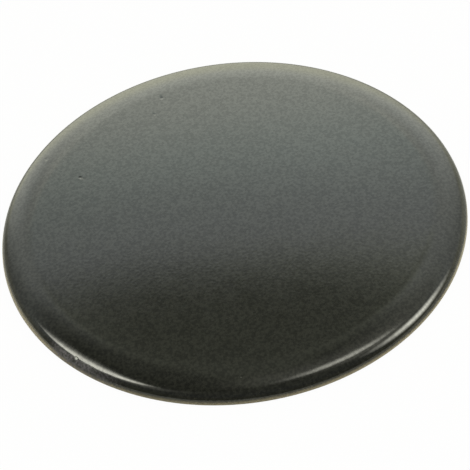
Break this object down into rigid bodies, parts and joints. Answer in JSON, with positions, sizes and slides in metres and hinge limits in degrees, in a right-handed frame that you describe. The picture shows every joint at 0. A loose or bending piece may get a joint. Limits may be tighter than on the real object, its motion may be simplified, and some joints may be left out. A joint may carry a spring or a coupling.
{
  "type": "gas burner cap",
  "caption": "Round enamelled steel gas burner cap with a flat top, a rounded rim and a recessed underside whose locating ring centres it on the burner crown.",
  "frame": {"origin": "centre of the foot ring, on the plane the cap rests on", "axes": "+Z along the cap's axis, from the foot up to the flat top; X and Y lie in the foot plane"},
  "size_m": [0.1, 0.1, 0.0035],
  "materials": {
    "enamel": "satin"
  },
  "bodies": {
    "root": {"burner_cap": "enamel"}
  },
  "joints": []
}
